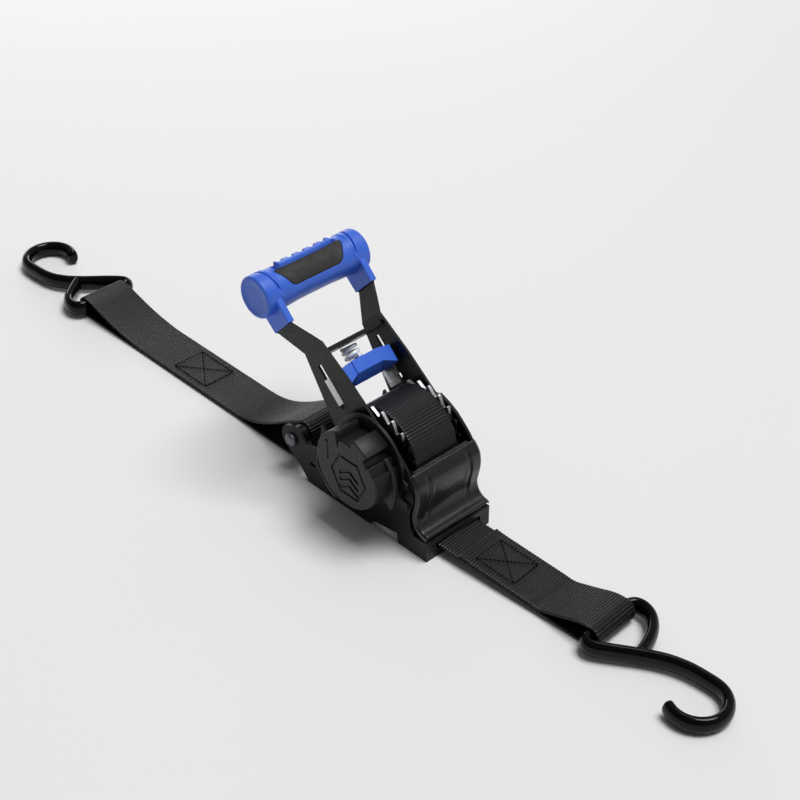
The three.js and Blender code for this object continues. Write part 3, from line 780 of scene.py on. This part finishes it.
# Each hook's bow sits a little differently beside its strap.
FRONT_HOOK = {
    "side": 21, "neck": -95, "direction": 1,
    "shank": [(82, -2.6), (65, 1.2), (50, 8), (34, 17.5), (20, 26.4)],
    "closing": [(33.5, -15), (38, -3), (40.6, 8.1), (41.4, 11.6)],
}
REAR_HOOK = {
    "side": 4.3, "neck": -98, "direction": -1,
    "shank": [(82, -19.2), (67, -16.5), (52, -8.5), (38, 4.5), (25, 18.5), (16.5, 26.8)],
    "closing": [(34, -16), (41.7, -6), (43.8, -3.0)],
}


def hook_line(shape):
    """The hook's middle line: from its tip round the bow, down the shank and round the eye."""
    eye = HOOK["eye"]
    bow = arc(HOOK["centre"], shape["side"], HOOK["r"], HOOK["tip"], shape["neck"], 60)
    shank = catmull([bow[-1], *shape["shank"], (10.2, 32.3)], 8)
    far = arc(6.5, eye + 2.7, 6.5, 57, 180, 16)
    near = arc(9, -eye, 9, 180, 262, 12)
    back = catmull([(9, -eye - 9), (19, -31), (27, -24.5), *shape["closing"]], 8)
    return [*bow, *shank[1:], *far, (0, 0), *near, *back]


def softened(line, passes):
    """The line with its joints between arcs and straights rounded off, ends kept."""
    for _ in range(passes):
        inner = [(a + b * 2 + c) / 4 for a, b, c in zip(line, line[1:], line[2:])]
        line = [line[0], *inner, line[-1]]
    return line


def build_hook(name, bar, shape):
    """The bar is swept round and then stretched upwards, so that its section is a standing oval."""
    direction = shape["direction"]
    stretch = WIRE["tall"] / WIRE["half"]
    length = HOOK["centre"] + HOOK["r"]
    lift = bar.z / MM - WIRE["tall"]
    flat = softened(evenly(hook_line(shape), step=1.6), passes=14)
    line = [
        Vector((
            bar.x / MM + direction * p.x, -direction * p.y,
            (WIRE["tall"] + lift * (1 - max(0, p.x) / length)) / stretch,
        )) * MM
        for p in flat
    ]
    outwards = (line[0] - line[1]).normalized()
    # The tip is rounded: (depth behind the tip, share of the full section).
    rounding = [(0.0, 0.0), (0.25, 0.5), (0.9, 0.8), (1.7, 0.96)]
    line = [line[0] - outwards * (depth * MM) for depth, _ in rounding] + line[2:]
    shares = [max(0.02, share) for _, share in rounding] + [1.0] * (len(line) - 4)
    shares[-3:] = (0.995, 0.98, 0.96)  # the other end is only a little thinner
    rings = tube_rings(line, [share * WIRE["half"] * MM for share in shares], HOOK["sides"])
    for point in (point for ring in rings for point in ring):
        point.z *= stretch
    return skin(name, rings, smooth_angle=180)


def build_hooks():
    front = build_hook("front_hook_wire", front_bar_before_turn(), FRONT_HOOK)
    turn_aside(front)
    finish_piece(front, "front_hook", "coated_wire", "front_hook")
    rear = build_hook("rear_hook_wire", REAR_BAR, REAR_HOOK)
    finish_piece(rear, "rear_hook", "coated_wire", "rear_hook")


# ---- grip -----------------------------------------------------------------------------------
def pad_reach(theta):
    """Half the pad's length at an angle round the grip, in degrees. Negative beyond its edges."""
    low, high = PAD["low"], PAD["high"]
    if not low <= theta <= high:
        return -1.0
    share = (theta - low) / (high - low)
    reach = PAD["short"] + (PAD["long"] - PAD["short"]) * share
    to_edge = math.radians(min(theta - low, high - theta)) * GRIP["waist"]
    corner = PAD["corner"]
    if to_edge < corner:
        reach -= corner - math.sqrt(max(0.0, corner ** 2 - (corner - to_edge) ** 2))
    return reach


def grip_point(radius, angle, y):
    """The point at a radius and an angle, in radians, round the grip's own axis."""
    reach, drop = GRIP["reach"], GRIP["drop"]
    return handle_point(reach - radius * math.cos(angle), y, radius * math.sin(angle) - drop)


def barrel_radius(y):
    """The plain barrel: a waist in the middle, two collars and rounded ends."""
    side = abs(y)
    waist, full, collar = GRIP["waist"], GRIP["r"], 1.0
    radius = waist + (full - collar - waist) * smoothstep(14, 38, side)
    radius += collar * smoothstep(39.5, 42.5, side)
    past = max(0.0, (side - 55.4) / 2.6)
    return radius - GRIP["rounding"] * (1 - math.sqrt(max(0.0, 1 - past ** 2)))


def grip_detail(theta, y):
    """How far the surface stands off the plain barrel: two grooves, and a ridge with notches."""
    side = abs(y)
    groove = bump(side - 43.5 - 4.5 * (theta - 85) / 85, 0.55, 0.45)
    rise = -2.6 * groove * smoothstep(60, 84, theta) * (1 - smoothstep(196, 214, theta))
    ridge = bump(y, 29.0, 0.6) * bump(theta - 147, 11, 2.0)
    rise += 3.4 * ridge
    for middle in (-24, -12, 0, 12, 24):
        notch = bump(y - middle, 2.2, 0.7) * bump(theta - 153, 5.5, 1.4)
        rise -= 3.6 * notch
    end_gap = bump(side - 32.2, 1.5, 0.5) * bump(theta - 152, 17, 3)
    rise -= 3.6 * end_gap
    return rise


def build_grip_barrel():
    around, stations = 288, 330
    half = GRIP["half"]
    rings = []
    for i in range(stations + 1):
        t = 2 * i / stations - 1
        y = half * math.copysign(1 - (1 - abs(t)) ** 1.12, t)
        ring = []
        for j in range(around):
            theta = 360 * j / around
            radius = barrel_radius(y) + grip_detail(theta, y)
            edge = min(
                smoothstep(-0.35, 0.1, pad_reach(theta) + 0.35 - abs(y)),
                smoothstep(-1.1, 0.2, theta - PAD["low"] + 1.0),
                smoothstep(-1.1, 0.2, PAD["high"] + 1.0 - theta),
            )
            radius -= (PAD["depth"] + 0.3) * edge
            ring.append(grip_point(radius, math.radians(theta), y))
        rings.append(ring)
    for sign in (-1, 1):
        for share, inset in ((0.93, 0.0), (0.9, 0.35), (0.55, 0.5), (0.03, 0.55)):
            radius = (GRIP["r"] - GRIP["rounding"]) * share
            ring = [
                grip_point(radius, 2 * math.pi * j / around, sign * (half - inset))
                for j in range(around)
            ]
            if sign < 0:
                rings.insert(0, ring)
            else:
                rings.append(ring)
    piece = skin("grip_barrel", rings, smooth_angle=180)
    return finish_piece(piece, "handle", "blue_plastic", "grip_body")


def build_grip_pad():
    """The soft inset, crowned a little and rounded over at its rim."""
    rows, columns = 64, 110

    def point(u, v, depth):
        theta = PAD["low"] + (PAD["high"] - PAD["low"]) * u
        y = pad_reach(theta) * v
        rim = min(min(u, 1 - u) * 18, (1 - abs(v)) * 30)
        crown = 0.55 * smoothstep(0, 1.2, rim) - 0.25
        return grip_point(barrel_radius(y) + crown - depth, math.radians(theta), y)

    spots = closer_to_ends(columns)
    rings = []
    for i in range(rows + 1):
        u = min(1 - 1e-4, max(1e-4, i / rows))
        top = [point(u, v, 0) for v in spots]
        bottom = [point(u, v, PAD["depth"] + 0.1) for v in reversed(spots)]
        rings.append(top + bottom)
    piece = skin("grip_soft_pad", rings, smooth_angle=60)
    return finish_piece(piece, "handle", "grip_rubber", "grip_pad")


def build_grip_leg(side):
    """Sleeve over the end of a handle plate, with a rib on its upper edge and a sunk outer panel."""
    inner, outer = 43.5, 49.5
    outline = [
        (inner + 0.4, -17.4), (outer - 1.0, -17.4), (outer - 0.8, -17.0), (outer - 0.8, -15.6),
        (outer - 0.9, -15.0), (outer - 0.9, 7.9), (outer + 0.5, 8.5), (outer + 0.7, 11.0),
        (outer - 0.1, 11.9), (inner + 0.6, 11.9), (inner, 11.2), (inner, -16.9),
    ]
    stations = [  # distance up the handle, scale of the section, and how far its edges swell
        (133.0, 0.84, 0), (130.8, 0.86, 0), (130.2, 0.92, 0), (130.1, 0.97, 0), (130.4, 1.0, 0),
        (136, 1.0, 0.2), (142, 1.0, 0.4), (148, 1.0, 0.6), (153, 1.0, 0.6), (158, 0.98, 0.6),
        (162, 0.9, 0.6),
    ]
    middle_y, middle_n = (inner + outer) / 2, -3.0
    rings = []
    for s, scale, swell in stations:
        wide = scale if scale == 1 else scale * 0.96
        rings.append([
            handle_point(
                s, side * (middle_y + (y - middle_y) * wide),
                middle_n + (n - middle_n) * scale + math.copysign(swell, n - middle_n),
            )
            for y, n in outline
        ])
    name = "grip_leg_left" if side < 0 else "grip_leg_right"
    piece = skin(name, rings, smooth_angle=30)
    add_bevel(piece, width=0.45, segments=3, angle=30)
    return finish_piece(piece, "handle", "blue_plastic", "grip_body")


def build_grip():
    build_grip_barrel()
    build_grip_pad()
    build_grip_leg(-1)
    build_grip_leg(1)


# ---- trigger and springs --------------------------------------------------------------------
PAWL_LINE = -5.0  # the sliding pawl's middle, below the handle's middle line


def build_trigger():
    """A moulded bar whose middle is set back between its two ends, with a broad lower bevel."""
    foot = -2.2
    sections = (  # across, height of the top, its front edge, its back edge
        (-28.4, 9.8, 59.2, 75.4), (-15.4, 10.2, 65.3, 77.4), (-14.9, 9.5, 65.6, 77.5),
        (-14.4, 10.8, 65.8, 77.7), (14.0, 10.8, 65.8, 77.7), (28.4, 9.4, 59.2, 75.4),
    )
    rings = []
    for y, top, front, back in sections:
        outline = (
            (58.6, foot), (58.0, foot + 0.8), (front, top), (back, top + 0.2), (back, foot),
        )
        rings.append([handle_point(s, y, n) for s, n in outline])
    piece = skin("trigger_block", rings, smooth_angle=8)
    add_bevel(piece, width=0.3, segments=2, angle=9)
    return finish_piece(piece, "drive_pawl", "blue_plastic", "trigger")


def build_pawl_flange(side):
    """The flat head on the drive pawl's ear, which slides on the outside of the handle's plate."""
    near, far = side * 34.26, side * 34.62
    outline = [
        (50.4, -9.4), (74.2, -9.4), (74.6, -9.0), (74.6, -1.6),
        (74.2, -1.2), (50.4, -1.2), (50, -1.6), (50, -9.0),
    ]
    rings = [[handle_point(s, y, n) for s, n in outline] for y in (near, far)]
    name = "pawl_flange_left" if side < 0 else "pawl_flange_right"
    piece = skin(name, rings, smooth_angle=20)
    # The near-white material is painted light, standing in for lit zinc.
    return finish_piece(piece, "drive_pawl", "zinc", material="painted_lit_zinc")


def coil(name, start, axis, first, second, radius, wire, turns, length):
    """A wire helix from start along axis; its end turns lie closer, as on a ground spring."""
    per_turn, sides, crowding = 36, 12, 0.03
    steps = int(turns * per_turn)
    line = []
    for i in range(steps + 1):
        turn = turns * i / steps
        t = i / steps
        share = t - crowding * math.sin(2 * math.pi * t)
        angle = 2 * math.pi * turn
        line.append(start + axis * (length * share * MM)
                    + (first * math.cos(angle) + second * math.sin(angle)) * (radius * MM))
    return skin(name, tube_rings(line, [wire * MM] * len(line), sides), smooth_angle=60)


def build_springs():
    across = Vector((0, 1, 0))
    start = handle_point(79.3, 0, PAWL_LINE)
    pawl = coil("pawl_coil_spring", start, ALONG, ABOVE, across,
                radius=6.5, wire=1.7, turns=2.6, length=11.6)
    # The near-white material is painted light, standing in for lit zinc.
    finish_piece(pawl, "handle", "spring_steel", "pawl_spring", material="painted_lit_zinc")
    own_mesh(pawl)
    begin = LEVER_PIN + Vector((0, -7 * MM, 0))
    x_axis, z_axis = Vector((1, 0, 0)), Vector((0, 0, 1))
    lever = coil("lever_torsion_spring", begin, across, x_axis, z_axis,
                 radius=4.1, wire=0.7, turns=7, length=14)
    finish_piece(lever, "frame", "spring_steel", "lever_spring")


# ---- spring case ----------------------------------------------------------------------------
CAP = {"face": 66.4, "rim": 41.0, "r": 36.5}
# Cuts in the cap's side: (first angle, last angle, radius), in degrees above +X.
CAP_CUTS = ((17, 33, 33.4), (33, 46, 29.8), (76, 108, 28.5))


def cap_radius(angle):
    """The cap's radius at an angle, in radians, less where its side is cut."""
    turn = math.degrees(angle)
    radius = CAP["r"]
    for first, last, level in CAP_CUTS:
        inside = smoothstep(first - 0.7, first, turn) * (1 - smoothstep(last, last + 0.7, turn))
        radius -= (CAP["r"] - level) * inside
    return radius


def emblem_depth(x, z):
    """What is sunk in the cap's face: a plain badge, a hooked slit and a notch by the big cut."""
    badge_x, badge_z = (x - 3) * 0.86, (z + 6) * 0.86
    hexagon = max(
        abs(badge_x * math.cos(a) + badge_z * math.sin(a))
        for a in (math.pi / 6, math.pi / 2, 5 * math.pi / 6)
    )
    badge, slit, notch = 1.3, 1.2, 1.8  # how deep each is
    depth = badge * bump(hexagon - 15.6, 0.6, 0.4)
    for k in range(3):
        fold = badge_z - 6.5 + 6.5 * k + 0.62 * abs(badge_x)
        depth = max(depth, badge * bump(fold, 1.2, 0.4) * bump(badge_x, 9.5, 0.5))
    hook = bump(x + 23.6 - 0.7 * (z - 19.5), 0.6, 0.4) * bump(z - 19.3, 1.0, 0.4)
    depth = max(depth, slit * bump(x + 22.5, 0.45, 0.35) * bump(z - 10.5, 9.5, 0.5), slit * hook)
    notch_half = 0.1 + 0.16 * max(0.0, z - 19.5)
    return max(depth, notch * bump(x + 10.2, notch_half, 0.4) * smoothstep(19.3, 20.3, z))


def build_spring_cap():
    around, levels = 600, 84
    face, rim = -CAP["face"], -CAP["rim"]
    wall = [  # how far in from the side, and Y
        (30, rim), (0.5, rim), (0.0, rim - 0.6), (0.0, (rim + face) / 2), (0.0, face + 1.3),
        (0.2, face + 0.6), (0.6, face + 0.18), (1.1, face),
    ]
    angles = [2 * math.pi * j / around for j in range(around)]
    rings = [
        [spindle_point(max(4.0, cap_radius(angle) - inset), angle, y) for angle in angles]
        for inset, y in wall
    ]
    for i in range(1, levels):
        ring = []
        for angle in angles:
            radius = (cap_radius(angle) - 1.2) * (1 - i / levels)
            sunk = 0.95 * emblem_depth(radius * math.cos(angle), radius * math.sin(angle))
            ring.append(spindle_point(radius, angle, face + sunk))
        rings.append(ring)
    piece = skin("spring_cap_cover", rings, smooth_angle=50)
    return finish_piece(piece, "frame", "black_plastic", "spring_cap")


def crescent(name, first, last, inner, growth, low, high):
    """A curved flange beside the cap that grows from nothing at its first angle, in degrees."""
    steps = 48
    rings = []
    for i in range(steps + 1):
        share = i / steps
        angle = math.radians(first + (last - first) * share)
        reach = inner + 0.3 + growth * share
        section = (
            (inner - 1, low), (reach - 0.5, low), (reach, low + 0.5),
            (reach, high - 0.5), (reach - 0.5, high), (inner - 1, high),
        )
        rings.append([spindle_point(radius, angle, y) for radius, y in section])
    piece = skin(name, rings, smooth_angle=35)
    return finish_piece(piece, "frame", "black_plastic", "spring_cap")


# ---- release lever --------------------------------------------------------------------------
def build_release_lever():
    """Pressed steel lever: two stiffening grooves down it and a rolled thumb lip."""
    half, thick = 37.6, 2.3
    line = evenly(catmull([
        (83.7, 80.6), (88.6, 75.2), (91.8, 69.2), (92.7, 58), (90.6, 47), (89.2, 38), (91.4, 31),
        (96.4, 26.2), (101.2, 24.2), (103.6, 23.9),
    ], per_span=14), step=0.9)
    total = length_of(line)
    columns = 120
    spots = [half * place for place in closer_to_ends(columns)]
    rings, travelled = [], 0.0
    for i, point in enumerate(line):
        before, after = line[max(0, i - 1)], line[min(len(line) - 1, i + 1)]
        normal = normal_between(before, after)
        if i:
            travelled += (point - line[i - 1]).length
        share = travelled / total
        swell = 1 + 0.75 * smoothstep(0.86, 0.97, share)
        end = min(travelled, total - travelled)
        taper = math.sqrt(min(1.0, max(0.06, end / 1.2)))
        outer, inner = [], []
        for y in spots:
            groove = bump(abs(y) - 23.5, 1.1, 2.0) * smoothstep(0.05, 0.16, share)
            groove *= 1 - smoothstep(0.66, 0.78, share)
            dish = bump(y, 17, 5) * smoothstep(0.2, 0.4, share)
            dish *= 1 - smoothstep(0.6, 0.75, share)
            wrap = 1.6 * smoothstep(34.6, half, abs(y)) ** 2
            sink = 1.3 * groove + dish + wrap
            for row, level in ((outer, thick / 2 * swell * taper), (inner, -thick / 2 * taper)):
                spot = point + normal * (level - sink)
                row.append(Vector((spot.x, y, spot.y)) * MM)
        rings.append(outer + inner[::-1])
    piece = skin("release_lever_press", rings, smooth_angle=50)
    finish_piece(piece, "release_lever", "black_steel", "release_lever", material="lever_steel")
    for side in (-1, 1):
        build_lever_ear(side)


def build_lever_ear(side):
    """One of the lever's two ears, bored for its pin."""
    x, z = in_mm(LEVER_PIN)
    outer, inner = side * 34.0, side * 31.8
    ear_r, bore_r = 6, 3.3
    loop = [*arc(x, z, ear_r, 120, 250, 20), (90.2, 50), (91.6, 58), (89.5, 67), (86, 66.5)]
    angles = [math.atan2(pz - z, px - x) for px, pz in loop]
    bore = [(x + bore_r * math.cos(a), z + bore_r * math.sin(a)) for a in angles]
    rings = [
        [Vector((px, y, pz)) * MM for px, pz in points]
        for points, y in ((loop, inner), (loop, outer), (bore, outer), (bore, inner))
    ]
    name = "lever_ear_left" if side < 0 else "lever_ear_right"
    piece = skin(name, rings, closed=True, smooth_angle=30)
    return finish_piece(piece, "release_lever", "black_steel", "release_lever")


# ---- floor, light and camera ----------------------------------------------------------------
def build_floor():
    half = 8.0
    points = [(-half, -half, 0), (half, -half, 0), (half, half, 0), (-half, half, 0)]
    floor = mesh_object("floor", points, [(0, 1, 2, 3)])
    finish = Finish("studio_floor", (0.82, 0.82, 0.82), 0.6)
    finish.specular(0.2)
    floor.data.materials.append(finish.material)


def area_light(name, where, target, size, power):
    data = bpy.data.lights.new(name, "AREA")
    data.shape = "RECTANGLE"
    data.size, data.size_y = size
    data.energy = power
    light = bpy.data.objects.new(name, data)
    light.location = where
    light.rotation_euler = (Vector(target) - Vector(where)).to_track_quat("-Z", "Y").to_euler()
    bpy.context.scene.collection.objects.link(light)


def build_light():
    middle = (-0.05, 0, 0.05)
    sun = bpy.data.lights.new("key", "SUN")
    sun.energy = 2.2
    sun.angle = math.radians(30)
    key = bpy.data.objects.new("key", sun)
    key.rotation_euler = Vector((-0.30, -0.22, -1.2)).to_track_quat("-Z", "Y").to_euler()
    bpy.context.scene.collection.objects.link(key)
    area_light("back", (-1.9, 1.2, 0.42), middle, size=(2.0, 0.6), power=10)
    area_light("top", (0.2, 0.3, 1.9), middle, size=(1.8, 0.06), power=3.6)
    world = bpy.data.worlds.new("studio")
    world.use_nodes = True
    background = world.node_tree.nodes["Background"]
    background.inputs["Color"].default_value = (0.99, 0.985, 1.0, 1)
    nodes, links = world.node_tree.nodes, world.node_tree.links
    direction = nodes.new("ShaderNodeSeparateXYZ")
    links.new(nodes.new("ShaderNodeTexCoord").outputs["Generated"], direction.inputs["Vector"])
    strength = nodes.new("ShaderNodeMapRange")  # the room is darker on the side of the spring case
    strength.inputs["From Min"].default_value = -1
    strength.inputs["To Min"].default_value = 0.07
    strength.inputs["To Max"].default_value = 0.36
    links.new(direction.outputs["Y"], strength.inputs["Value"])
    links.new(strength.outputs["Result"], background.inputs["Strength"])
    bpy.context.scene.world = world
    bpy.context.scene.view_settings.view_transform = "Standard"


def build_camera():
    data = bpy.data.cameras.new("camera")
    data.lens = 81
    data.sensor_width = 36
    data.clip_end = 50
    camera = bpy.data.objects.new("camera", data)
    camera.location = (0.9157, -0.8413, 1.0020)
    camera.rotation_euler = (math.radians(53.9), 0, math.radians(46.4))
    bpy.context.scene.collection.objects.link(camera)
    bpy.context.scene.camera = camera


build_camera()
build_floor()
build_light()
dress_kept_nodes()
build_straps()
build_hooks()
build_grip()
build_trigger()
build_pawl_flange(-1)
build_pawl_flange(1)
build_springs()
build_spring_cap()
crescent("cap_flange_front", first=34, last=-40, inner=34, growth=12.7, low=-50, high=-46)
crescent("cap_lip_rear", first=192, last=248, inner=39.0, growth=1.8, low=-66.0, high=-44)
build_release_lever()
